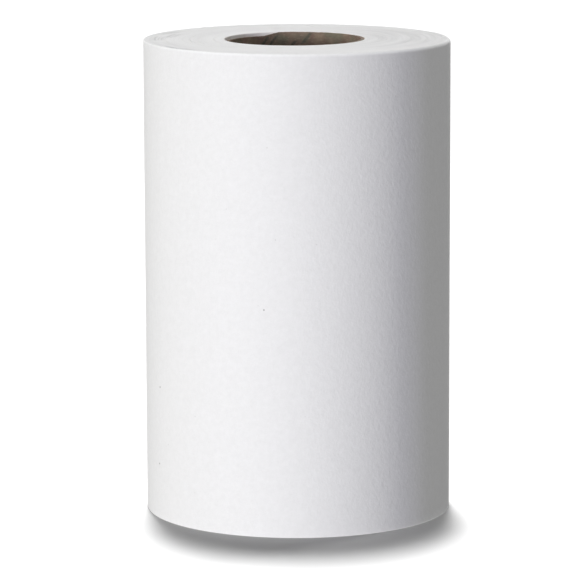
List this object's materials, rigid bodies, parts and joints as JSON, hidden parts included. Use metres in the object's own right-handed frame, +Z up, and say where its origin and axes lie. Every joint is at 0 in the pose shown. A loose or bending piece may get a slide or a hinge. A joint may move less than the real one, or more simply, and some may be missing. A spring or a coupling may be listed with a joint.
{
  "type": "paper towel roll",
  "caption": "Standing roll of plain white paper towel, wound on an open card core tube that slides over a holder's post.",
  "frame": {"origin": "on the axis of the core tube's bore, at the base that the roll stands on", "axes": "+Z up along the bore; the picture looks along +Y from slightly above, and the free edge of the sheet is behind the +X side"},
  "size_m": [0.139, 0.1387, 0.215],
  "materials": {
    "paper": "matte creped tissue",
    "card": "matte grey-brown board"
  },
  "bodies": {
    "root": {"wound_paper": "paper", "core_tube": "card"}
  },
  "joints": []
}
